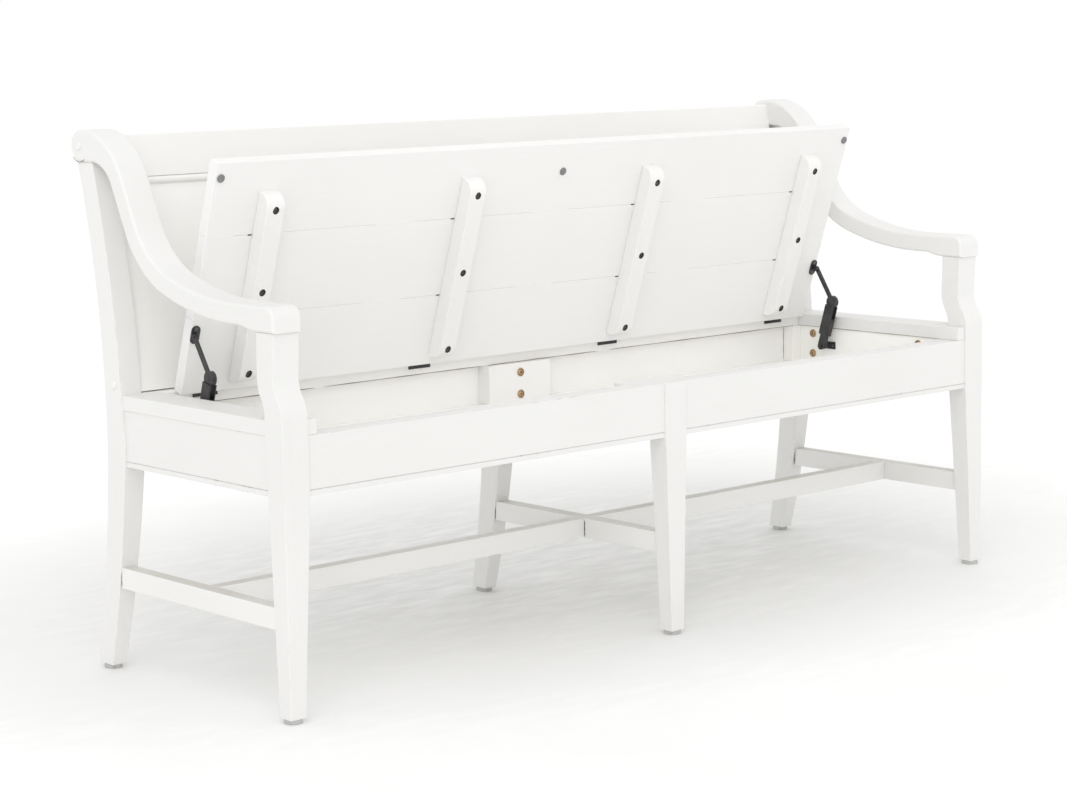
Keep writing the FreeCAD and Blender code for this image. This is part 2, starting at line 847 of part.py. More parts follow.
def long_stretcher(label, side):
    x = span(side, d.stretcher_thick / 2 + STRETCHER_INSET, HALF - STRETCHER_INSET - d.stretcher_thick)
    y = (depth(d.long_stretcher_front), depth(d.long_stretcher_front + d.stretcher_thick))
    return eased(label, box(label + "_board", x, y, STRETCHER_Z))


# ---------------------------------------------------------------- lid, in the lid's own frame

def lid_plank(label, near, far):
    """A plank between two distances from the lid's rear edge, with eased edges."""
    z = (LID_UNDER, LID_UNDER + d.lid_thick)
    board = box(label + "_board", (-d.lid_half, d.lid_half), (LID_REAR - far, LID_REAR - near), z)
    return eased(label + "_round", board)


BATTEN_SCREWS = (40, 187, 332)
BATTEN_HEAD = 5.5
SCREW_RECESS = 5


def batten_places():
    return [-d.outer_batten, -d.inner_batten, d.inner_batten, d.outer_batten]


def lid_batten(label, x):
    """A cross batten under the lid, with rounded ends and three counterbored holes."""
    low, high = LID_UNDER - d.batten_thick, LID_UNDER
    front, rear = LID_REAR - d.batten_end, LID_REAR - d.batten_start
    shoulder = low + d.batten_round
    outline = [
        (rear, high),
        (front, high),
        (front, shoulder, d.batten_round),
        (front + d.batten_round, low),
        (rear - d.batten_round, low, d.batten_round),
        (rear, shoulder),
    ]
    half = d.batten_width / 2
    strip = prism(label + "_strip", "YZ_Plane", outline, (x - half, x + half))
    holes = []
    for i, along in enumerate(BATTEN_SCREWS):
        y = LID_REAR - along
        holes.append(rod("%s_bore_%d" % (label, i), "z", (x, y, low - 1), 6.5, SCREW_RECESS + 1))
        holes.append(rod("%s_pilot_%d" % (label, i), "z", (x, y, low), 2.3, d.batten_thick))
    return drilled(label + "_drilled", eased(label + "_round", strip, on_side_face), holes)


def batten_screws():
    low = LID_UNDER - d.batten_thick
    screws = []
    for i, x in enumerate(batten_places()):
        for j, along in enumerate(BATTEN_SCREWS):
            name = "batten_screw_%d_%d" % (i, j)
            y = LID_REAR - along
            head = rod(name + "_head", "z", (x, y, low + SCREW_RECESS - 2.5), BATTEN_HEAD, 2.5)
            stem = rod(name + "_stem", "z", (x, y, low + SCREW_RECESS), 2.2, d.batten_thick - SCREW_RECESS)
            screws.append(boolean("Fuse", name, head, stem))
    return group("batten_screws", screws, LID_FRAME)


def lid_bumpers():
    """Round pads under the lid's front edge that rest on the front apron and centre block."""
    thick = 2.8
    places = [(size(-755), 383), (size(0), 356), (size(755), 383)]
    pads = []
    for i, (x, along) in enumerate(places):
        disc = rod("bumper_%d_disc" % i, "z", (x, LID_REAR - along, LID_UNDER - thick), 7, thick)
        under = (LID_UNDER - thick).value
        rim = lambda edge, at=under: abs(edge.BoundBox.ZMax - at) < 0.01
        pads.append(eased("bumper_%d" % i, disc, rim, 1.2))
    return group("lid_bumpers", pads, LID_FRAME)


# ---------------------------------------------------------------- hinges

LEAF_WIDTH = 50
LEAF_THICK = 1.3
LEAF_DROP = 16
KNUCKLE_RADIUS = 2.6
PIN_RADIUS = 1.25
HINGE_SCREWS = (-15, 15)
SCREW_SHANK = 1.5
SCREW_HEAD = 2.2
HINGE_SCREW_DROP = 9.3
HINGE_SCREW_Z = d.hinge_height - HINGE_SCREW_DROP


def hinge_places():
    return [("hinge_1", -d.outer_hinge), ("hinge_2", -d.inner_hinge),
            ("hinge_3", d.inner_hinge), ("hinge_4", d.outer_hinge)]


def hinge_leaf(name, x, way, base, knuckles):
    """A leaf beside the pin: way is +1 behind it and -1 in front; knuckles are X ranges."""
    y0, z0 = base
    y = (y0 + 0.2, y0 + 0.2 + LEAF_THICK) if way > 0 else (y0 - 0.2 - LEAF_THICK, y0 - 0.2)
    z = (z0 - LEAF_DROP, z0 - KNUCKLE_RADIUS - 0.4)
    half = LEAF_WIDTH / 2
    shape = box(name + "_plate", (x - half, x + half), y, z)
    for i, (low, high) in enumerate(knuckles):
        tab = box("%s_tab_%d" % (name, i), (x + low, x + high), y, (z[1] - 1, z0))
        barrel = rod("%s_barrel_%d" % (name, i), "x", (x + low, y0, z0), KNUCKLE_RADIUS, high - low)
        shape = boolean("Fuse", "%s_tabbed_%d" % (name, i), shape, tab)
        shape = boolean("Fuse", "%s_rolled_%d" % (name, i), shape, barrel)
    holes = [rod(name + "_pin_hole", "x", (x - half - 1, y0, z0), PIN_RADIUS + d.pin_clearance,
                 LEAF_WIDTH + 2)]
    for i, shift in enumerate(HINGE_SCREWS):
        start = (x + shift, y[0] - 1, z0 - HINGE_SCREW_DROP)
        holes.append(rod("%s_screw_hole_%d" % (name, i), "y", start, SCREW_HEAD + 0.1, LEAF_THICK + 2))
    return drilled(name, shape, holes)


def hinge_frame_leaves():
    base = (depth(d.hinge_line), d.hinge_height)
    ends = ((-25, -8.6), (8.6, 25))
    return group("hinge_frame_leaves", [hinge_leaf(title + "_frame", x, 1, base, ends)
                                        for title, x in hinge_places()])


def hinge_lid_leaves():
    middle = ((-8.3, 8.3),)
    return group("hinge_lid_leaves", [hinge_leaf(title + "_lid", x, -1, (size(0), size(0)), middle)
                                      for title, x in hinge_places()], LID_FRAME)


def hinge_pins():
    y, z = depth(d.hinge_line), d.hinge_height
    pins = [rod(title + "_pin", "x", (x - 25, y, z), PIN_RADIUS, LEAF_WIDTH) for title, x in hinge_places()]
    return group("hinge_pins", pins)


def hinge_screw(name, x, y, z, way):
    """A flush screw along Y; its head fills the leaf's hole and its shank points away from the pin."""
    head_low = y if way > 0 else y - LEAF_THICK
    shank_low = y + LEAF_THICK if way > 0 else y - LEAF_THICK - 10
    head = rod(name + "_head", "y", (x, head_low, z), SCREW_HEAD, LEAF_THICK)
    shank = rod(name + "_shank", "y", (x, shank_low, z), SCREW_SHANK, 10)
    return boolean("Fuse", name, head, shank)


def hinge_frame_screws():
    y = depth(d.hinge_line) + 0.2
    return group("hinge_frame_screws", [
        hinge_screw("%s_frame_screw_%d" % (title, shift + 15), x + shift, y, HINGE_SCREW_Z, 1)
        for title, x in hinge_places() for shift in HINGE_SCREWS])


def hinge_lid_screws():
    return group("hinge_lid_screws", [
        hinge_screw("%s_lid_screw_%d" % (title, shift + 15), x + shift, size(-0.2),
                    size(-HINGE_SCREW_DROP), -1)
        for title, x in hinge_places() for shift in HINGE_SCREWS], LID_FRAME)


def rear_plank():
    """The rear plank, drilled for the hinge screws."""
    plank = lid_plank("lid_plank_rear", 0, d.rear_plank)
    holes = []
    for title, x in hinge_places():
        for shift in HINGE_SCREWS:
            start = (x + shift, LID_REAR - 12, -HINGE_SCREW_DROP)
            holes.append(rod("%s_lid_pilot_%d" % (title, shift + 15), "y", start, SCREW_SHANK + 0.1, 13))
    return group("lid_plank_rear", [drilled("lid_plank_rear_drilled", plank, holes)], LID_FRAME)


# ---------------------------------------------------------------- lid stays

STAY_MIDDLE = 763
CASE_HALF = 7
SLOT_HALF = 5
CAM_HALF = 4.4
BAR_HALF = 2
NECK_HALF = 5
NECK_RADIUS = 7.5
BAR_RADIUS = 4.2
PIVOT_PIN = 2.5
BOSS_PIN = 2.0
BRACKET_SCREW = 3.0
BRACKET_SCREW_AHEAD = 14
WALL_PLATE = (779.8, 782.0)
EAR = (757.5, 760.3)
PLATE_THICK = 2.2
PLATE_HALF = 8.5
PLATE_STRAIGHT = 15
PLATE_SCREWS = (-10.5, 10.5)


def stay_span(side, low, high):
    """The X range between two offsets, counted outwards, from a stay's middle plane."""
    return span(side, STAY_MIDDLE + low, STAY_MIDDLE + high)


def stay_pivot():
    return depth(d.stay_pivot_y), d.stay_pivot_z


def elbow():
    return depth(d.elbow_y), d.elbow_z


def boss():
    """Where the stay's arm is pinned to the lid, in the lid's frame."""
    return LID_REAR - d.boss_along, LID_UNDER - d.boss_off


def boss_open():
    """The same pin in the row frame, with the lid open."""
    y, z = boss()
    sin_open, cos_open = sine(d.lid_open), cosine(d.lid_open)
    return (depth(d.hinge_line) + y * cos_open + z * sin_open,
            d.hinge_height - y * sin_open + z * cos_open)


def rod_between(name, x, centre, radius):
    """A disc or pin along X between two X planes."""
    return rod(name, "x", (x[0], *centre), radius, x[1] - x[0])


def bar(name, first, last, reach, half, x):
    """A straight bar; reach is its (start, end) along the line from first to last."""
    run, rise = last[0] - first[0], last[1] - first[1]
    length = math.hypot(run.value, rise.value)
    ahead = (run / length, rise / length)

    def corner(distance, offset):
        return (first[0] + ahead[0] * distance - ahead[1] * offset,
                first[1] + ahead[1] * distance + ahead[0] * offset)

    start, end = reach
    return prism(name, "YZ_Plane", [corner(start, -half), corner(end, -half),
                                    corner(end, half), corner(start, half)], x)


def stay_body(label, side):
    """The stay's spring case: a neck pinned to the wall bracket, and a box slotted at its top for the cam."""
    first, last = stay_pivot(), elbow()
    length = math.hypot((last[0] - first[0]).value, (last[1] - first[1]).value)
    case_end = length - d.case_gap
    case_start = case_end - d.case_length
    case = bar(label + "_case", first, last, (case_start, case_end), d.stay_half_width,
               stay_span(side, -CASE_HALF, CASE_HALF))
    slot = bar(label + "_slot", first, last, (case_end - d.case_slot, case_end + 1), d.stay_half_width + 1,
               stay_span(side, -SLOT_HALF, SLOT_HALF))
    doc.recompute()
    shell = boolean("Cut", label + "_slotted", eased(label + "_case_round", case, None, 1.2), slot)
    neck_x = stay_span(side, -NECK_HALF, NECK_HALF)
    neck = bar(label + "_neck", first, last, (size(0), case_start + 2), NECK_RADIUS, neck_x)
    end = rod_between(label + "_end", neck_x, first, NECK_RADIUS)
    whole = boolean("Fuse", label + "_whole", boolean("Fuse", label + "_necked", shell, neck), end)
    hole_x = stay_span(side, -NECK_HALF - 1, NECK_HALF + 1)
    return drilled(label, whole, [rod_between(label + "_hole", hole_x, first, PIVOT_PIN + d.pin_clearance)])


def stay_arm(label, side):
    """The slim arm from the lid's boss to the cam that sits in the case's slot."""
    bar_x = stay_span(side, -BAR_HALF, BAR_HALF)
    first, last = boss_open(), elbow()
    length = math.hypot((last[0] - first[0]).value, (last[1] - first[1]).value)
    pieces = [
        rod_between(label + "_eye", bar_x, first, BAR_RADIUS),
        rod_between(label + "_cam", stay_span(side, -CAM_HALF, CAM_HALF), last, d.cam_radius),
        rod_between(label + "_rivet", stay_span(side, -CAM_HALF - 0.5, CAM_HALF + 0.5), last, 3),
    ]
    whole = bar(label + "_bar", first, last, (size(0), size(length)), BAR_RADIUS, bar_x)
    for i, piece in enumerate(pieces):
        whole = boolean("Fuse", "%s_joined_%d" % (label, i), whole, piece)
    hole_x = stay_span(side, -BAR_HALF - 1, BAR_HALF + 1)
    return drilled(label, whole, [rod_between(label + "_hole", hole_x, first, BOSS_PIN + d.pin_clearance)])


def stay_lid_plate(side_name, side):
    """An oval plate screwed under the lid, with an ear that carries the boss pin."""
    name = "stay_plate_" + side_name
    y, z = boss()
    middle = side * (EAR[0])
    near, far = y - PLATE_STRAIGHT / 2, y + PLATE_STRAIGHT / 2
    outline = [
        (middle + PLATE_HALF, near), (middle + PLATE_HALF, far, PLATE_HALF),
        (middle, far + PLATE_HALF, PLATE_HALF), (middle - PLATE_HALF, far),
        (middle - PLATE_HALF, near, PLATE_HALF), (middle, near - PLATE_HALF, PLATE_HALF),
    ]
    whole = prism(name + "_oval", "XY_Plane", outline, (LID_UNDER - PLATE_THICK, LID_UNDER))
    ear_x = span(side, *EAR)
    pieces = [
        box(name + "_ear", ear_x, (y - 5.5, y + 5.5), (z, LID_UNDER)),
        rod_between(name + "_ear_end", ear_x, (y, z), 5.5),
        rod_between(name + "_pin", span(side, EAR[0], 765.6), (y, z), BOSS_PIN),
        rod_between(name + "_head", span(side, 765.4, 766.6), (y, z), 3.2),
    ]
    for i, piece in enumerate(pieces):
        whole = boolean("Fuse", "%s_joined_%d" % (name, i), whole, piece)
    holes = [rod("%s_hole_%d" % (name, i), "z", (middle, y + shift, LID_UNDER - 3), 3.1, 4)
             for i, shift in enumerate(PLATE_SCREWS)]
    return drilled(name, whole, holes)


def stay_lid_plates():
    return group("stay_lid_plates", [stay_lid_plate(name, side) for name, side in SIDES.items()], LID_FRAME)


def stay_plate_screws():
    """Flush screws in the oval plates."""
    y, z = boss()
    screws = []
    for name, side in SIDES.items():
        for i, shift in enumerate(PLATE_SCREWS):
            start = (side * EAR[0], y + shift, LID_UNDER - PLATE_THICK)
            screws.append(rod("plate_screw_%s_%d" % (name, i), "z", start, 3.0, PLATE_THICK))
    return group("stay_plate_screws", screws, LID_FRAME)


def stay_wall_brackets():
    """Plates on the end walls; each carries the stud that its stay turns on."""
    y, z = stay_pivot()
    brackets = []
    for name, side in SIDES.items():
        title = "stay_bracket_" + name
        x = span(side, *WALL_PLATE)
        board = box(title + "_plate", x, (y - BRACKET_SCREW_AHEAD - 6, y + 9),
                    (z - NECK_RADIUS, z + NECK_RADIUS))
        whole = eased(title + "_round", board, on_side_face, 0.6)
        outer = STAY_MIDDLE + NECK_HALF + 0.4
        inner = STAY_MIDDLE - NECK_HALF - 0.4
        pieces = [
            rod_between(title + "_standoff", span(side, outer, WALL_PLATE[0]), (y, z), 5),
            rod_between(title + "_pin", span(side, inner, outer), (y, z), PIVOT_PIN),
            rod_between(title + "_head", span(side, inner - 1.2, inner), (y, z), 4.5),
        ]
        for i, piece in enumerate(pieces):
            whole = boolean("Fuse", "%s_joined_%d" % (title, i), whole, piece)
        hole = rod(title + "_hole", "x", (x[0] - 1, y - BRACKET_SCREW_AHEAD, z), BRACKET_SCREW + 0.1, 4)
        brackets.append(drilled(title, whole, [hole]))
    return group("stay_wall_brackets", brackets)


def stay_bracket_screws():
    """Screws that sit flush in the wall plates, clear of the stays that fold past them."""
    y, z = stay_pivot()
    return group("stay_bracket_screws", [
        rod_between("bracket_screw_" + name, span(side, *WALL_PLATE), (y - BRACKET_SCREW_AHEAD, z),
                    BRACKET_SCREW)
        for name, side in SIDES.items()])


# ---------------------------------------------------------------- the whole bench

def build_frame():
    ends = {}
    for name, side in SIDES.items():
        front = front_end_leg("front_leg_" + name, side)
        rear = rear_post("rear_post_" + name, side)
        ends[name] = (front, rear)
        node("front_leg_" + name, eased("front_leg_%s_round" % name, front))
        node("rear_post_" + name, eased("rear_post_%s_round" % name, rear))
        node("arm_" + name, arm("arm_" + name, side))
        node("front_apron_" + name, front_apron("front_apron_" + name, side))
        back = rear_apron("rear_apron_" + name, side)
        node("rear_apron_" + name, back)
        node("side_apron_" + name, side_apron("side_apron_" + name, side, [front, rear, back]))
        node("side_seat_rail_" + name, side_seat_rail("side_seat_rail_" + name, side, rear))
        node("box_end_" + name, box_end("box_end_" + name, side))
        node("side_stretcher_" + name, side_stretcher("side_stretcher_" + name, side, [front, rear]))
        node("long_stretcher_" + name, long_stretcher("long_stretcher_" + name, side))
    front_middle = front_middle_leg()
    rear_middle = rear_middle_leg()
    front_round = eased("front_leg_middle_round", front_middle)
    rear_round = eased("rear_leg_middle_round", rear_middle)
    node("front_leg_middle", drilled_leg("front_leg_middle", front_round, depth(d.leg_depth - 23)))
    node("rear_leg_middle", drilled_leg("rear_leg_middle", rear_round, depth(d.rear_front_face) - 1))
    node("middle_stretcher", middle_stretcher([front_middle, rear_middle]))
    node("foot_glides", foot_glides())
    node("bolt_caps", bolt_caps())
    node("rear_seat_rail", rear_seat_rail())
    node("box_floor", box_floor())
    node("floor_cleats", floor_cleats())
    rear = depth(d.rear_front_face)
    front = depth(INSIDE_FRONT)
    rear_y = (rear - d.block_depth, rear)
    front_y = (front, front + d.block_depth)
    node("rear_centre_block", centre_block("rear_centre_block", rear_y, rear_y[0] - 2))
    node("front_centre_block", centre_block("front_centre_block", front_y, front_y[0] - 2))
    node("corner_blocks", corner_blocks())
    node("frame_bolts", frame_bolts())
    node("back_panel", back_panel())
    node("back_top_rail", back_top_rail())
    node("back_bead", back_bead())


def build_lid():
    middle_end = d.rear_plank + d.middle_plank
    node("lid_plank_rear", rear_plank())
    node("lid_plank_middle",
         group("lid_plank_middle", [lid_plank("lid_plank_middle", d.rear_plank, middle_end)], LID_FRAME))
    node("lid_plank_front", group("lid_plank_front", [lid_plank("lid_plank_front", middle_end, d.lid_depth)],
                                  LID_FRAME))
    for number, x in enumerate(batten_places(), start=1):
        label = "lid_batten_%d" % number
        node(label, group(label, [lid_batten(label, x)], LID_FRAME))
    node("batten_screws", batten_screws())
    node("lid_bumpers", lid_bumpers())
    node("hinge_frame_leaves", hinge_frame_leaves())
    node("hinge_lid_leaves", hinge_lid_leaves())
    node("hinge_pins", hinge_pins())
    node("hinge_frame_screws", hinge_frame_screws())
    node("hinge_lid_screws", hinge_lid_screws())


def build_stays():
    for name, side in SIDES.items():
        node("stay_body_" + name, stay_body("stay_body_" + name, side))
        node("stay_arm_" + name, stay_arm("stay_arm_" + name, side))
    node("stay_lid_plates", stay_lid_plates())
    node("stay_plate_screws", stay_plate_screws())
    node("stay_wall_brackets", stay_wall_brackets())
    node("stay_bracket_screws", stay_bracket_screws())


def check():
    """Stop if any object failed to build, or any sub-part is not a set of valid solids."""
    failed = [item.Name for item in doc.Objects if {"Invalid", "Error"} & set(item.State)]
    if failed:
        sys.exit("failed objects: %s" % ", ".join(failed))
    for label, item in NODES.items():
        shape = item.Shape
        if shape.isNull() or not shape.isValid() or not shape.Solids:
            sys.exit("bad shape: %s" % label)


build_frame()
build_lid()
build_stays()
doc.recompute()
check()
os.makedirs("parts", exist_ok=True)
for label, item in NODES.items():
    item.Shape.exportStep("parts/%s.step" % label)
print("wrote %d sub-parts" % len(NODES))
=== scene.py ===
"""Looks for a white painted storage bench whose lid stands open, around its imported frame."""

import json
import math

import bmesh
import bpy
from mathutils import Matrix, Vector


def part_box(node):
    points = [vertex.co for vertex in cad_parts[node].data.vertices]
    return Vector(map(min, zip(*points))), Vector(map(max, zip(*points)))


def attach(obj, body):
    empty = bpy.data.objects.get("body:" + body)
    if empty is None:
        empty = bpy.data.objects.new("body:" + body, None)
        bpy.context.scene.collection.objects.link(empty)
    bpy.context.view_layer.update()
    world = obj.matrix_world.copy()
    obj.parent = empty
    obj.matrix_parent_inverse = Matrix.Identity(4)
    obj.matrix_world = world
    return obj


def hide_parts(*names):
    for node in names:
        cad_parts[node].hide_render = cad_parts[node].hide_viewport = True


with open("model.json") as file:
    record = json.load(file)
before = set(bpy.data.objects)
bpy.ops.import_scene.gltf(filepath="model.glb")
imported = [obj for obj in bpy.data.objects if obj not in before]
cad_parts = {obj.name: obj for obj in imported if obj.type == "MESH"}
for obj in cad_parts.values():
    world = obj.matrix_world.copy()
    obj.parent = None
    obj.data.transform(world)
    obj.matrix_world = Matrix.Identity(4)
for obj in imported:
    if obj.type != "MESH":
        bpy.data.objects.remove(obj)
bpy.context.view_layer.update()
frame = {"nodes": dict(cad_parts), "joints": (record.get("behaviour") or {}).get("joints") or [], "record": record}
NODES = frame["nodes"]
JOINTS = {joint["name"]: joint for joint in frame["joints"]}
HINGE = Vector(JOINTS["lid_hinge"]["pos_m"])
LID_OPEN = math.radians(JOINTS["lid_hinge"]["range_deg"][1])
BACK_RAKE = math.radians(10.5)

# In the lid's own frame the hinge line is the origin and the lid lies shut. The joints between its
# planks are distances from its rear edge, and the battens are distances along the hinge line.
LID_REAR = -0.0015
LID_UNDER = -0.0246
PLANK_JOINTS = (0.135, 0.280)
LID_TOP_END = 0.7645
BATTENS = (-0.656, -0.220, 0.220, 0.656)
BATTEN_HALF = 0.018

SCROLL_RADIUS = 0.0265
BOX_MIDDLE = (0.0, -0.04, 0.4)

CAMERA_PLACE = (-3.1375, -3.4258, 1.0644)
CAMERA_HEADING = -41.736
CAMERA_DOWN = 8.218
CAMERA_ROLL = -0.958
CAMERA_LENS = 86.434
CAMERA_SENSOR = 36.0

# Each light's name, the direction it comes from, its angular width and its strength.
SUNS = (
    ("front_left_softbox", (-0.52, -0.52, 0.68), 38.0, 0.48),
    ("front_fill", (-0.60, -0.77, 0.20), 34.0, 0.28),
)
SUN_COLOUR = (1.0, 0.995, 0.985)

FLOOR_REACH = 30.0
# The middle of the painted shadow on the floor, and how far it reaches each way.
SHADOW_MIDDLE = (0.24, 0.42)
SHADOW_REACH = (1.66, 1.10)


# ------------------------------------------------------------------ camera and light

def place_camera():
    """The camera stands front left of the bench, a little above its back, and looks along it."""
    data = bpy.data.cameras.new("camera")
    data.sensor_width = CAMERA_SENSOR
    data.lens = CAMERA_LENS
    camera = bpy.data.objects.new("camera", data)
    bpy.context.scene.collection.objects.link(camera)
    heading = Matrix.Rotation(math.radians(CAMERA_HEADING), 4, "Z")
    pitch = Matrix.Rotation(math.radians(90 - CAMERA_DOWN), 4, "X")
    roll = Matrix.Rotation(math.radians(CAMERA_ROLL), 4, "Z")
    camera.matrix_world = Matrix.Translation(CAMERA_PLACE) @ heading @ pitch @ roll
    bpy.context.scene.camera = camera


def soft_sun(name, towards, spread, power):
    """A light so far away that it falls evenly on the whole floor, as wide as a large softbox."""
    data = bpy.data.lights.new(name, "SUN")
    data.energy = power
    data.angle = math.radians(spread)
    data.color = SUN_COLOUR
    light = bpy.data.objects.new(name, data)
    bpy.context.scene.collection.objects.link(light)
    light.rotation_euler = (-Vector(towards)).to_track_quat("-Z", "Y").to_euler()


def light_studio():
    """A white room, a large soft light from the front left and a low fill that reaches into the box."""
    world = bpy.data.worlds.new("studio")
    world.use_nodes = True
    background = world.node_tree.nodes["Background"]
    background.inputs["Color"].default_value = (1.0, 1.0, 1.0, 1.0)
    background.inputs["Strength"].default_value = 1.0
    scene = bpy.context.scene
    scene.world = world
    scene.view_settings.view_transform = "Standard"
    for sun in SUNS:
        soft_sun(*sun)


def make_floor():
    mesh = bpy.data.meshes.new("floor")
    corners = [(x * FLOOR_REACH, y * FLOOR_REACH, 0) for x, y in ((-1, -1), (1, -1), (1, 1), (-1, 1))]
    mesh.from_pydata(corners, [], [(0, 1, 2, 3)])
    floor = bpy.data.objects.new("floor", mesh)
    bpy.context.scene.collection.objects.link(floor)
    floor.data.materials.append(floor_paint())


# ------------------------------------------------------------------ material helpers

class Shader:
    """Builds one node material; each method adds a node and returns its output."""

    def __init__(self, name):
        self.material = bpy.data.materials.new(name)
        self.material.use_nodes = True
        self.tree = self.material.node_tree
        self.surface = self.tree.nodes["Principled BSDF"]

    def add(self, kind, **settings):
        node = self.tree.nodes.new(kind)
        for key, value in settings.items():
            setattr(node, key, value)
        return node

    def feed(self, socket, value):
        if isinstance(value, bpy.types.NodeSocket):
            self.tree.links.new(value, socket)
        else:
            socket.default_value = value

    def place(self, scale=(1, 1, 1), tilt=0.0):
        """Object coordinates in metres, turned about X by tilt and then stretched."""
        coords = self.add("ShaderNodeTexCoord").outputs["Object"]
        turned = self.add("ShaderNodeVectorRotate", rotation_type="X_AXIS")
        self.feed(turned.inputs["Vector"], coords)
        turned.inputs["Angle"].default_value = tilt
        stretched = self.add("ShaderNodeMapping")
        self.feed(stretched.inputs["Vector"], turned.outputs["Vector"])
        stretched.inputs["Scale"].default_value = scale
        return stretched.outputs["Vector"]

    def noise(self, vector, scale, detail=3.0, roughness=0.5):
        node = self.add("ShaderNodeTexNoise")
        self.feed(node.inputs["Vector"], vector)
        node.inputs["Scale"].default_value = scale
        node.inputs["Detail"].default_value = detail
        node.inputs["Roughness"].default_value = roughness
        return node.outputs["Fac"]

    def ramp(self, value, low, high, out_low=0.0, out_high=1.0):
        node = self.add("ShaderNodeMapRange")
        self.feed(node.inputs["Value"], value)
        limits = {"From Min": low, "From Max": high, "To Min": out_low, "To Max": out_high}
        for key, amount in limits.items():
            node.inputs[key].default_value = amount
        return node.outputs["Result"]

    def math(self, operation, first, second=0.0):
        node = self.add("ShaderNodeMath", operation=operation)
        self.feed(node.inputs[0], first)
        self.feed(node.inputs[1], second)
        return node.outputs["Value"]

    def mix(self, factor, first, second):
        node = self.add("ShaderNodeMix", data_type="RGBA")
        self.feed(node.inputs["Factor"], factor)
        self.feed(node.inputs["A"], first)
        self.feed(node.inputs["B"], second)
        return node.outputs["Result"]

    def bump(self, height, distance, strength=1.0, under=None):
        node = self.add("ShaderNodeBump")
        self.feed(node.inputs["Height"], height)
        node.inputs["Distance"].default_value = distance
        node.inputs["Strength"].default_value = strength
        if under is not None:
            self.feed(node.inputs["Normal"], under)
        return node.outputs["Normal"]

    def edge(self, radius):
        """How near a convex or concave edge is: 0 on flat faces, about 1 on a square edge."""
        bevel = self.add("ShaderNodeBevel", samples=4)
        bevel.inputs["Radius"].default_value = radius
        geometry = self.add("ShaderNodeNewGeometry")
        dot = self.add("ShaderNodeVectorMath", operation="DOT_PRODUCT")
        self.feed(dot.inputs[0], bevel.outputs["Normal"])
        self.feed(dot.inputs[1], geometry.outputs["Normal"])
        return self.ramp(dot.outputs["Value"], 0.98, 0.80)

    def set(self, **inputs):
        for key, value in inputs.items():
            self.feed(self.surface.inputs[key.replace("_", " ")], value)


def rgb(red, green, blue):
    return (red, green, blue, 1.0)


# ------------------------------------------------------------------ materials

# One white paint in six copies. Each copy but the frame's is made lighter as painted light, standing in for light
# that the lamps don't bring to its place: inside the box, on the back, under the lid and on the stretchers.
# The inside and back copies are also a little creamier, as that paint is. Each copy has a light and a darker tone.
PAINTS = {
    "frame": (rgb(0.792, 0.788, 0.776), rgb(0.764, 0.758, 0.744)),
    "lid": (rgb(0.858, 0.853, 0.843), rgb(0.832, 0.825, 0.813)),
    "back": (rgb(0.930, 0.922, 0.900), rgb(0.905, 0.894, 0.868)),
    "inside": (rgb(0.960, 0.955, 0.930), rgb(0.940, 0.932, 0.900)),
    "rail": (rgb(0.878, 0.872, 0.856), rgb(0.852, 0.845, 0.828)),
    "low": (rgb(0.820, 0.816, 0.800), rgb(0.792, 0.786, 0.768)),
}
# Paints whose upward faces are darkened as painted shade, and that shade's colour.
SHADED_TOP_PAINTS = {"low"}
TOP_SHADE = rgb(0.36, 0.32, 0.26)
WORN_EDGE = 0.0022
BARE_WOOD = rgb(0.330, 0.285, 0.225)
GRAIN_ALONG = {"x": (1.2, 26, 26), "y": (26, 1.2, 26), "z": (26, 26, 1.2)}


def painted_wood(name, paint, grain, tilt=0.0, rubs=()):
    """Brushed paint over wood: soft grain, brush marks, slow colour drift, rubbed edges and, for some paints,
    painted shade on upward faces.

    The grain runs along an axis. Each rub is a point on an edge and how far bare wood shows round it.
    """
    s = Shader(name)
    along = s.place(GRAIN_ALONG[grain], tilt)
    plain = s.place()
    fibres = s.noise(along, 9.0, 5.0, 0.6)
    brush = s.noise(along, 22.0, 2.0, 0.5)
    drift = s.noise(plain, 3.1, 2.0)
    tone = s.math("ADD", s.math("MULTIPLY", fibres, 0.35), s.math("MULTIPLY", drift, 0.65))
    light, shade = PAINTS[paint]
    colour = s.mix(s.ramp(tone, 0.35, 0.70), light, shade)
    rub_place = s.noise(plain, 38.0, 4.0, 0.7)
    rub_patch = s.noise(plain, 5.3, 1.0)
    rubbed = s.math("MULTIPLY", s.ramp(rub_place, 0.55, 0.64), s.ramp(rub_patch, 0.52, 0.60))
    edge = s.edge(WORN_EDGE)
    wear_and_shadow = s.math("MULTIPLY", edge, rubbed)
    colour = s.mix(s.math("MULTIPLY", wear_and_shadow, 0.75), colour, BARE_WOOD)
    ragged = s.ramp(s.noise(plain, 420.0, 4.0, 0.7), 0.25, 0.75, -0.0028, 0.0028)
    for point, reach in rubs:
        away = s.add("ShaderNodeVectorMath", operation="DISTANCE")
        s.feed(away.inputs[0], s.place())
        away.inputs[1].default_value = point
        near = s.ramp(s.math("ADD", away.outputs["Value"], ragged), reach, reach * 0.35, 0.0, 0.80)
        colour = s.mix(s.math("MULTIPLY", near, edge), colour, BARE_WOOD)
    # Painted shade: upward faces are darkened in patches, standing in for the seat's shade on the stretchers'
    # tops.
    if paint in SHADED_TOP_PAINTS:
        facing = s.add("ShaderNodeSeparateXYZ")
        s.feed(facing.inputs["Vector"], s.add("ShaderNodeNewGeometry").outputs["Normal"])
        upward = s.ramp(facing.outputs["Z"], 0.75, 0.97)
        top_shade = s.math("MULTIPLY", upward, s.ramp(drift, 0.30, 0.65, 0.15, 0.50))
        colour = s.mix(top_shade, colour, TOP_SHADE)
    grain_bump = s.bump(fibres, 0.00022, 0.6)
    normal = s.bump(brush, 0.00008, 0.5, grain_bump)
    s.set(Base_Color=colour, Roughness=s.ramp(brush, 0.3, 0.7, 0.42, 0.56), Normal=normal)
    return s.material


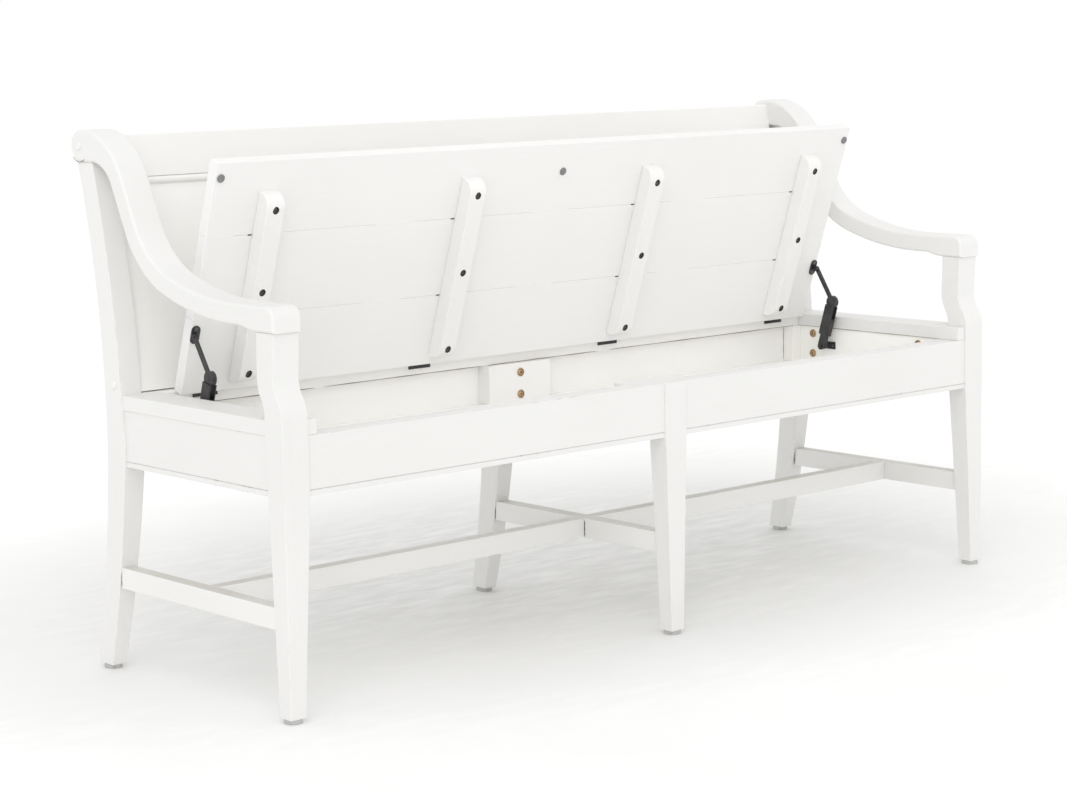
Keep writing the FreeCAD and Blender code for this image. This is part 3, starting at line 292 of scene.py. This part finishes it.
def black_metal():
    """Semi-gloss black coating with a faint orange-peel texture, dusty mottling and a painted highlight along its
    edges.
    """
    s = Shader("black_metal")
    plain = s.place()
    peel = s.noise(plain, 1400.0, 2.0)
    dust = s.noise(plain, 60.0, 4.0, 0.65)
    colour = s.mix(s.ramp(dust, 0.35, 0.75), rgb(0.022, 0.022, 0.023), rgb(0.060, 0.060, 0.062))
    # Painted highlight: every edge is lightened towards grey.
    colour = s.mix(s.math("MULTIPLY", s.edge(0.0008), 0.35), colour, rgb(0.16, 0.16, 0.165))
    s.set(Base_Color=colour, Roughness=s.ramp(dust, 0.3, 0.7, 0.34, 0.52),
          Normal=s.bump(peel, 0.00004, 0.5))
    s.surface.inputs["Metallic"].default_value = 0.15
    return s.material


def plated_bolts():
    """Yellow zinc plate, slightly iridescent, with painted shade darkening it along its edges, round the rim and
    in its groove and socket.
    """
    s = Shader("plated_bolts")
    plain = s.place()
    film = s.noise(plain, 220.0, 3.0, 0.6)
    colour = s.mix(s.ramp(film, 0.35, 0.65), rgb(0.68, 0.50, 0.28), rgb(0.58, 0.40, 0.28))
    # Painted shade: every edge, the rim, groove and socket among them, is darkened towards brown.
    colour = s.mix(s.math("MULTIPLY", s.edge(0.0004), 0.6), colour, rgb(0.22, 0.13, 0.06))
    s.set(Base_Color=colour, Roughness=s.ramp(film, 0.3, 0.7, 0.26, 0.42))
    s.surface.inputs["Metallic"].default_value = 0.85
    return s.material


def dark_screws():
    """Black oxide screws with a mottled, greyer and darker tone."""
    s = Shader("dark_screws")
    plain = s.place()
    grime = s.noise(plain, 400.0, 3.0)
    colour = s.mix(s.ramp(grime, 0.35, 0.7), rgb(0.16, 0.156, 0.148), rgb(0.09, 0.087, 0.081))
    s.set(Base_Color=colour, Roughness=s.ramp(grime, 0.3, 0.7, 0.38, 0.55))
    s.surface.inputs["Metallic"].default_value = 0.6
    return s.material


def moulded(name, light, dark, roughness, grain=900.0):
    """Moulded rubber or plastic: fine grain, slight mottling."""
    s = Shader(name)
    plain = s.place()
    mottle = s.noise(plain, 130.0, 3.0)
    pores = s.noise(plain, grain, 2.0)
    s.set(Base_Color=s.mix(s.ramp(mottle, 0.3, 0.7), light, dark),
          Roughness=s.ramp(pores, 0.3, 0.7, roughness - 0.06, roughness + 0.06),
          Normal=s.bump(pores, 0.00003, 0.5))
    return s.material


def floor_paint():
    """A matt white paper floor with fine creases all over, and a painted shadow, grey and patchy, round where the
    bench stands.
    """
    s = Shader("floor_paint")
    plain = s.place()
    cloud = s.noise(plain, 2.2, 4.0, 0.55)
    crease = s.noise(s.place((1.0, 3.2, 1.0)), 9.0, 5.0, 0.62)
    centred = s.add("ShaderNodeMapping")
    s.feed(centred.inputs["Vector"], plain)
    centred.inputs["Location"].default_value = (*(-m / r for m, r in zip(SHADOW_MIDDLE, SHADOW_REACH)), 0)
    centred.inputs["Scale"].default_value = (*(1 / r for r in SHADOW_REACH), 0)
    away = s.add("ShaderNodeVectorMath", operation="LENGTH")
    s.feed(away.inputs[0], centred.outputs["Vector"])
    ragged = s.math("ADD", away.outputs["Value"], s.ramp(crease, 0.3, 0.7, -0.10, 0.10))
    # Painted shadow: the floor turns greyer the nearer it lies to the shadow's middle, with a ragged edge.
    wear_and_shadow = s.ramp(ragged, 1.0, 0.40)
    unshaded = s.mix(s.ramp(cloud, 0.35, 0.65), rgb(0.945, 0.945, 0.940), rgb(0.915, 0.915, 0.910))
    grey = s.mix(s.ramp(crease, 0.32, 0.68), rgb(0.820, 0.818, 0.810), rgb(0.690, 0.688, 0.677))
    s.set(Base_Color=s.mix(wear_and_shadow, unshaded, grey), Roughness=0.62, Normal=s.bump(crease, 0.0008, 0.30))
    return s.material


# ------------------------------------------------------------------ detail pieces

def new_piece(name, mesh, body, material, *replaced):
    """Finish a mesh as one smooth-shaded piece on a body."""
    mesh.normal_update()
    bmesh.ops.recalc_face_normals(mesh, faces=mesh.faces)
    data = bpy.data.meshes.new(name)
    mesh.to_mesh(data)
    mesh.free()
    piece = bpy.data.objects.new(name, data)
    bpy.context.scene.collection.objects.link(piece)
    data.materials.append(material)
    for face in data.polygons:
        face.use_smooth = True
    data.set_sharp_from_angle(angle=math.radians(38))
    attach(piece, body)
    if replaced:
        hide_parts(*replaced)
    return piece


def islands(node):
    """The lowest and highest corner of each separate solid in a CAD node."""
    mesh = bmesh.new()
    mesh.from_mesh(NODES[node].data)
    bmesh.ops.remove_doubles(mesh, verts=mesh.verts, dist=1e-6)
    mesh.verts.ensure_lookup_table()
    seen, found = set(), []
    for start in mesh.verts:
        if start.index in seen:
            continue
        stack, points = [start], []
        seen.add(start.index)
        while stack:
            vertex = stack.pop()
            points.append(vertex.co.copy())
            for edge in vertex.link_edges:
                other = edge.other_vert(vertex)
                if other.index not in seen:
                    seen.add(other.index)
                    stack.append(other)
        low = Vector([min(p[i] for p in points) for i in range(3)])
        high = Vector([max(p[i] for p in points) for i in range(3)])
        found.append((low, high, points))
    mesh.free()
    return found


CROSS_ARM = 0.35
CROSS_CORNER = math.degrees(math.atan(CROSS_ARM))
CROSS_ANGLES = [math.radians(quarter + step) for quarter in (0, 90, 180, 270)
                for step in (-CROSS_CORNER, 0, CROSS_CORNER, 32, 45, 58)]
ROUND_24 = [math.radians(15 * step) for step in range(24)]
ROUND_32 = [math.radians(11.25 * step) for step in range(32)]
ON_FACE = 0.0002


def cross_reach(angle):
    """The outline of a cross of arm length 1, as a distance along an angle."""
    off = (angle + math.pi / 4) % (math.pi / 2) - math.pi / 4
    return min(1 / math.cos(off), CROSS_ARM / max(abs(math.sin(off)), 1e-6))


def hex_reach(angle):
    """The outline of a hexagon of corner radius 1, as a distance along an angle."""
    off = angle % (math.pi / 3) - math.pi / 6
    return math.cos(math.pi / 6) / math.cos(off)


def loft(mesh, loops):
    """Join loops of vertices into one closed solid."""
    for first, second in zip(loops, loops[1:]):
        for i in range(len(first)):
            j = (i + 1) % len(first)
            mesh.faces.new((first[i], first[j], second[j], second[i]))
    mesh.faces.new(list(reversed(loops[0])))
    mesh.faces.new(loops[-1])


def turned(mesh, centre, axis, rings, angles, roll=0.0):
    """A closed turned shape about axis. A ring is (height, radius) or (height, radius, outline)."""
    frame_matrix = Vector(axis).to_track_quat("Z", "Y").to_matrix()
    loops = []
    for ring in rings:
        height, radius = ring[:2]
        outline = ring[2] if len(ring) > 2 else (lambda angle: 1.0)
        loop = []
        for angle in angles:
            reach = radius * outline(angle)
            local = Vector((reach * math.cos(angle + roll), reach * math.sin(angle + roll), height))
            loop.append(mesh.verts.new(Vector(centre) + frame_matrix @ local))
        loops.append(loop)
    loft(mesh, loops)


def screw_rings(radius, rise, shank, length):
    """A pan-headed cross-recessed screw, from the tip of its shank up to the floor of its recess."""
    recess = radius * 0.62
    return [(-length, shank * 0.3), (-length + shank * 2, shank), (0, shank), (0, radius * 0.97),
            (rise * 0.35, radius), (rise * 0.70, radius * 0.93), (rise * 0.93, radius * 0.80),
            (rise, recess * 1.10), (rise * 0.98, recess, cross_reach),
            (rise * 0.60, recess * 0.80, cross_reach), (rise * 0.15, recess * 0.36, cross_reach)]


def bolt_rings(radius, rise, shank, length):
    """A flanged socket bolt, from the end of its shank up to the floor of its hexagon."""
    socket = radius * 0.40
    return [(-length, shank * 0.8), (-length + 0.001, shank), (0, shank), (0, radius),
            (rise * 0.70, radius), (rise * 0.95, radius * 0.94), (rise * 0.95, radius * 0.84),
            (-rise * 0.30, radius * 0.78), (-rise * 0.30, radius * 0.70), (rise * 0.80, radius * 0.64),
            (rise, radius * 0.56), (rise, socket * 1.08, hex_reach),
            (rise * 0.94, socket, hex_reach), (-rise * 0.9, socket * 0.94, hex_reach)]


def lid_normal():
    """The direction that the lid's underside faces while it stands open."""
    return Matrix.Rotation(-LID_OPEN, 3, "X") @ Vector((0, 0, -1))


def on_lid(x, distance, proud):
    """A point on the open lid: distance up its underside from its rear edge, proud of that face."""
    local = Vector((x, LID_REAR - distance, LID_UNDER - proud))
    return HINGE + Matrix.Rotation(-LID_OPEN, 3, "X") @ local


SCREW_RISE = 0.0026
SCREW_SHANK = 0.0017
SCREW_LENGTH = 0.012
SCREW_TURN = 0.7


def screw_rims(normal):
    """The centre and radius of each batten screw's head, at its top."""
    for low, high, points in islands("batten_screws"):
        top = max(p.dot(normal) for p in points)
        rim = [p for p in points if top - p.dot(normal) < ON_FACE]
        centre = sum(rim, Vector()) / len(rim)
        yield centre, max((p - centre).length for p in rim)


def batten_screw_heads(material):
    """Cross-recessed screws at the bottom of the battens' counterbores."""
    mesh = bmesh.new()
    normal = lid_normal()
    for i, (centre, radius) in enumerate(screw_rims(normal)):
        rings = screw_rings(radius, SCREW_RISE, SCREW_SHANK, SCREW_LENGTH)
        turned(mesh, centre - normal * SCREW_RISE, normal, rings, CROSS_ANGLES, SCREW_TURN * i)
    return new_piece("batten_screw_heads", mesh, "lid", material, "batten_screws")


BORE_SEARCH_FROM = 0.001
BORE_SEARCH_ROUND = 0.0085


def bore_radius(centre, normal):
    """The radius of the counterbore round a screw, from the rim that its batten's mesh has there."""
    distances = []
    for name, node in NODES.items():
        if not name.startswith("lid_batten"):
            continue
        for vertex in node.data.vertices:
            away = vertex.co - centre
            height = away.dot(normal)
            across = (away - normal * height).length
            if height > BORE_SEARCH_FROM and across < BORE_SEARCH_ROUND:
                distances.append(across)
    return sum(distances) / len(distances)


def counterbore_walls(material):
    """The walls of the battens' counterbores: bare wood, painted far darker than bare wood as the shade inside the
    bores.
    """
    mesh = bmesh.new()
    normal = lid_normal()
    for centre, radius in screw_rims(normal):
        outer = bore_radius(centre, normal) + 0.0004
        inner = outer - 0.0007
        rings = [(-0.0030, outer), (0.0020, outer), (0.0020, inner), (-0.0024, inner)]
        turned(mesh, centre, normal, rings, ROUND_24)
    return new_piece("counterbore_walls", mesh, "lid", material)


BOLT_RISE = 0.0025
BOLT_SHANK = 0.42
BOLT_TURN = 0.4


def bolt_heads(material):
    """Flanged socket bolts that look into the seat box."""
    mesh = bmesh.new()
    for i, (low, high, points) in enumerate(islands("frame_bolts")):
        size = high - low
        axis = max(range(3), key=lambda k: size[k])
        inward = Vector((0, 0, 0))
        near_low = abs(low[axis] - BOX_MIDDLE[axis]) < abs(high[axis] - BOX_MIDDLE[axis])
        inward[axis] = -1.0 if near_low else 1.0
        centre = (low + high) / 2
        centre[axis] = low[axis] if near_low else high[axis]
        radius = size[(axis + 1) % 3] / 2
        rings = bolt_rings(radius, BOLT_RISE, radius * BOLT_SHANK, size[axis] - BOLT_RISE)
        turned(mesh, centre - inward * BOLT_RISE, inward, rings, ROUND_24, BOLT_TURN * i)
    return new_piece("bolt_heads", mesh, "frame", material, "frame_bolts")


# Heights as parts of the bumper's rise, and radii as parts of its own.
BUMPER_PROFILE = ((0, 0.98), (0.35, 1), (0.70, 0.97), (0.92, 0.90),
                  (1, 0.80), (1, 0.55), (0.90, 0.40), (0.86, 0.15))


def bumper_pads(material):
    """Round rubber bumpers with a soft rim and a shallow dimple."""
    mesh = bmesh.new()
    normal = lid_normal()
    for low, high, points in islands("lid_bumpers"):
        heights = [p.dot(normal) for p in points]
        base, top = min(heights), max(heights)
        foot = [p for p in points if p.dot(normal) - base < ON_FACE]
        centre = sum(foot, Vector()) / len(foot)
        radius = max((p - centre).length for p in points)
        rise = top - base
        rings = [(rise * height, radius * across) for height, across in BUMPER_PROFILE]
        turned(mesh, centre, normal, rings, ROUND_32)
    return new_piece("bumper_pads", mesh, "lid", material, "lid_bumpers")


STRIP_STEPS = 14
STRIP_FOOT = -0.0008


def swelling(t):
    """A ridge's fullness along its length: 0 at its ends, nearly 1 over most of it."""
    return math.sqrt(max(0.0, 1 - (2 * t - 1) ** 6))


def strip_on_lid(mesh, x_ends, distance, half_width, rise):
    """A low tapered ridge along X on the lid's underside; its foot is sunk a little into the wood."""
    rows = []
    for i in range(STRIP_STEPS + 1):
        t = i / STRIP_STEPS
        x = x_ends[0] + (x_ends[1] - x_ends[0]) * t
        crown = rise * swelling(t)
        half = half_width * (0.35 + 0.65 * swelling(t))
        section = ((-1, STRIP_FOOT), (-1, 0.0), (-0.5, crown), (0.5, crown), (1, 0.0), (1, STRIP_FOOT))
        rows.append([mesh.verts.new(on_lid(x, distance + half * side, height)) for side, height in section])
    loft(mesh, rows)


PAINTED_JOINT_ENDS = ((-0.765, -0.711), (-0.414, -0.330), (-0.056, 0.030), (0.300, 0.388), (0.690, 0.765))


def lid_joint_paint(material):
    """Paint that has closed the lid's plank joints halfway between the battens and at the lid's ends."""
    mesh = bmesh.new()
    for distance in PLANK_JOINTS:
        for x_ends in PAINTED_JOINT_ENDS:
            strip_on_lid(mesh, x_ends, distance, 0.0021, 0.00016)
    return new_piece("lid_joint_paint", mesh, "lid", material)


def lid_joint_gaps(material):
    """Small dark openings where a plank joint runs under the left edge of each batten."""
    mesh = bmesh.new()
    for distance in PLANK_JOINTS:
        for middle in BATTENS:
            edge = middle - BATTEN_HALF
            strip_on_lid(mesh, (edge - 0.0085, edge - 0.0005), distance, 0.0013, 0.00012)
    return new_piece("lid_joint_gaps", mesh, "lid", material)


def lid_top_joints(material):
    """The plank joints on the lid's upper face."""
    mesh = bmesh.new()
    normal = lid_normal()
    heights = [vertex.co.dot(normal) for vertex in NODES["lid_plank_middle"].data.vertices]
    thick = max(heights) - min(heights)
    for distance in PLANK_JOINTS:
        start, end = (on_lid(x, distance, -thick) for x in (-LID_TOP_END, LID_TOP_END))
        hairline(mesh, straight(start, end, 60), -normal, 0.0009)
    return new_piece("lid_top_joints", mesh, "lid", material)


REAR_RAIL_GAPS = ((-0.765, -0.47), (-0.45, -0.085), (-0.07, 0.21), (0.24, 0.765))
SCROLL_GAP = range(-52, -141, -6)


def joint_gaps(material):
    """Dark hairlines under the seat boards, round the scrolls' feet and beside the corner blocks."""
    mesh = bmesh.new()
    rear_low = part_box("rear_seat_rail")[0]
    for x_ends in REAR_RAIL_GAPS:
        start = Vector((x_ends[0], rear_low.y, rear_low.z + 0.0007))
        end = Vector((x_ends[1], rear_low.y, rear_low.z + 0.0007))
        hairline(mesh, straight(start, end, 24), Vector((0, -1, 0)), 0.0008)
    for side in (-1, 1):
        low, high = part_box("side_seat_rail_left" if side < 0 else "side_seat_rail_right")
        inner = high.x if side < 0 else low.x
        start = Vector((inner, low.y + 0.045, low.z + 0.0006))
        end = Vector((inner, rear_low.y - 0.004, low.z + 0.0006))
        hairline(mesh, straight(start, end, 24), Vector((-side, 0, 0)), 0.0006)
        arm_low, arm_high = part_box("arm_left" if side < 0 else "arm_right")
        outer = arm_low.x if side < 0 else arm_high.x
        centre = Vector((outer, arm_high.y - SCROLL_RADIUS, arm_high.z - SCROLL_RADIUS))
        angles = [math.radians(angle) for angle in SCROLL_GAP]
        arc = [centre + SCROLL_RADIUS * Vector((0, -math.cos(a), math.sin(a))) for a in angles]
        hairline(mesh, arc, Vector((side, 0, 0)), 0.0007)
    for low, high, points in islands("corner_blocks"):
        inner = high.x if high.x < 0 else low.x
        start = Vector((inner, high.y, low.z + 0.002))
        end = Vector((inner, high.y, high.z - 0.001))
        hairline(mesh, straight(start, end, 12), Vector((0, -1, 0)), 0.0008)
    return new_piece("joint_gaps", mesh, "frame", material)


LEG_JOINT_INSET = 0.0016
CROSSING_INSET = 0.0010


def stretcher_gaps(material):
    """Open joints, dark and upright, where the stretchers meet each other and the rear legs."""
    mesh = bmesh.new()
    middle_low, middle_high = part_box("middle_stretcher")
    long_low, long_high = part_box("long_stretcher_left")
    right_low, right_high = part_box("side_stretcher_right")
    left_low, left_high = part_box("side_stretcher_left")
    for x, y, low, high in (
            (middle_low.x, middle_high.y - LEG_JOINT_INSET, middle_low.z, middle_high.z),
            (middle_low.x, long_low.y - CROSSING_INSET, long_low.z, long_high.z),
            (right_low.x, right_high.y - LEG_JOINT_INSET, right_low.z, right_high.z),
            (left_low.x, left_high.y - LEG_JOINT_INSET, left_low.z, left_high.z)):
        start = Vector((x, y, low + 0.003))
        end = Vector((x, y, high - 0.004))
        hairline(mesh, straight(start, end, 12), Vector((-1, 0, 0)), 0.0009)
    return new_piece("stretcher_gaps", mesh, "frame", material)


def straight(start, end, steps):
    """Evenly spaced points from start to end."""
    return [start.lerp(end, i / steps) for i in range(steps + 1)]


# Across a hairline: how far to the side, as a part of its half width, and how high above the face.
HAIRLINE_SECTION = ((-1, -0.0003), (-1, 0.00004), (-0.4, 0.0001), (0.4, 0.0001), (1, 0.00004), (1, -0.0003))


def hairline(mesh, line, normal, half_width):
    """A tapered dark ridge along a line, 0.1 mm proud of the face that it lies on."""
    rows = []
    for i, point in enumerate(line):
        t = i / (len(line) - 1)
        along = (line[min(i + 1, len(line) - 1)] - line[max(i - 1, 0)]).normalized()
        across = along.cross(normal).normalized()
        half = half_width * (0.30 + 0.70 * swelling(t))
        half *= 1 + 0.25 * math.sin(17 * t + 3 * point.x)
        rows.append([mesh.verts.new(point + across * half * side + normal * rise)
                     for side, rise in HAIRLINE_SECTION])
    loft(mesh, rows)


# ------------------------------------------------------------------ materials of the carried-over nodes

def longest_axis(node):
    """The axis along which a node is longest, as its letter."""
    low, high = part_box(node)
    sizes = high - low
    return "xyz"[max(range(3), key=lambda i: sizes[i])]


# The copy of the white paint that these nodes take; the lighter copies are painted light.
PAINT_OF = {
    "front_centre_block": "frame",
    "rear_centre_block": "rail", "back_top_rail": "rail", "back_bead": "rail",
    "back_panel": "back", "rear_seat_rail": "back",
    "rear_apron_left": "inside", "rear_apron_right": "inside",
    "long_stretcher_left": "low", "long_stretcher_right": "low", "middle_stretcher": "low",
    "side_stretcher_left": "low", "side_stretcher_right": "low",
}
# Where the paint is rubbed through on an edge, and how far round that point.
RUBS = {
    "lid": [(on_lid(-0.7655, 0.307, -0.003), 0.0062), (on_lid(-0.7655, 0.217, -0.004), 0.0050)],
    "frame": [((-0.8495, -0.2835, 0.118), 0.0060), ((-0.8495, -0.2835, 0.062), 0.0045),
              ((0.8480, -0.2838, 0.078), 0.0050), ((-0.832, -0.247, 0.645), 0.0040),
              ((0.006, -0.2835, 0.4505), 0.0036)],
}


def paint_of(name, slot):
    """Which copy of the white paint a wooden node gets; the copies differ mostly as painted light."""
    if name in PAINT_OF:
        return PAINT_OF[name]
    if slot == "interior_wood":
        return "inside"
    return "lid" if name.startswith("lid_") else "frame"


def tilt_of(name):
    """How far a wooden node leans back, so that its grain leans with it."""
    if name.startswith("lid_"):
        return LID_OPEN
    return BACK_RAKE if name.startswith("back_") else 0.0


def paint_nodes():
    """Give each carried-over node the material of its slot, and make the detail pieces."""
    slots = {row["node"]: row["material_slot"] for row in frame["record"]["subparts"]}
    plain = {
        "black_metal": black_metal(),
        "plated_bolts": plated_bolts(),
        "dark_screws": dark_screws(),
        "grey_rubber": moulded("grey_rubber", rgb(0.25, 0.25, 0.255), rgb(0.18, 0.18, 0.185), 0.70),
        "glide_plastic": moulded("glide_plastic", rgb(0.52, 0.52, 0.51), rgb(0.42, 0.42, 0.41), 0.45),
        "gap_shadow": moulded("gap_shadow", rgb(0.060, 0.055, 0.048), rgb(0.035, 0.032, 0.028), 0.8),
        "cap_plastic": moulded("cap_plastic", rgb(0.82, 0.82, 0.815), rgb(0.79, 0.79, 0.785), 0.35),
    }
    # The counterbores' walls: bare wood, made far darker as painted shade inside the bores.
    counterbore_walls(moulded("bore_wood_and_shade", rgb(0.120, 0.105, 0.085), rgb(0.070, 0.060, 0.048), 0.85))
    batten_screw_heads(plain["dark_screws"])
    bolt_heads(plain["plated_bolts"])
    bumper_pads(plain["grey_rubber"])
    woods = {}
    for name, node in NODES.items():
        slot = slots[name]
        if slot in plain:
            material = plain[slot]
        else:
            paint = paint_of(name, slot)
            tilt = tilt_of(name)
            grain = "y" if name.startswith(("lid_batten", "arm_")) else longest_axis(name)
            key = (slot, paint, grain, "%d" % round(math.degrees(tilt)))
            if key not in woods:
                woods[key] = painted_wood("_".join(key), paint, grain, tilt, RUBS.get(paint, ()))
            material = woods[key]
        node.data.materials.clear()
        node.data.materials.append(material)
    lid_joint_paint(NODES["lid_plank_middle"].data.materials[0])
    lid_joint_gaps(plain["gap_shadow"])
    stretcher_gaps(plain["gap_shadow"])
    joint_shadow = moulded("joint_shadow", rgb(0.34, 0.31, 0.25), rgb(0.22, 0.20, 0.16), 0.8)
    lid_top_joints(joint_shadow)
    joint_gaps(joint_shadow)


place_camera()
light_studio()
make_floor()
paint_nodes()
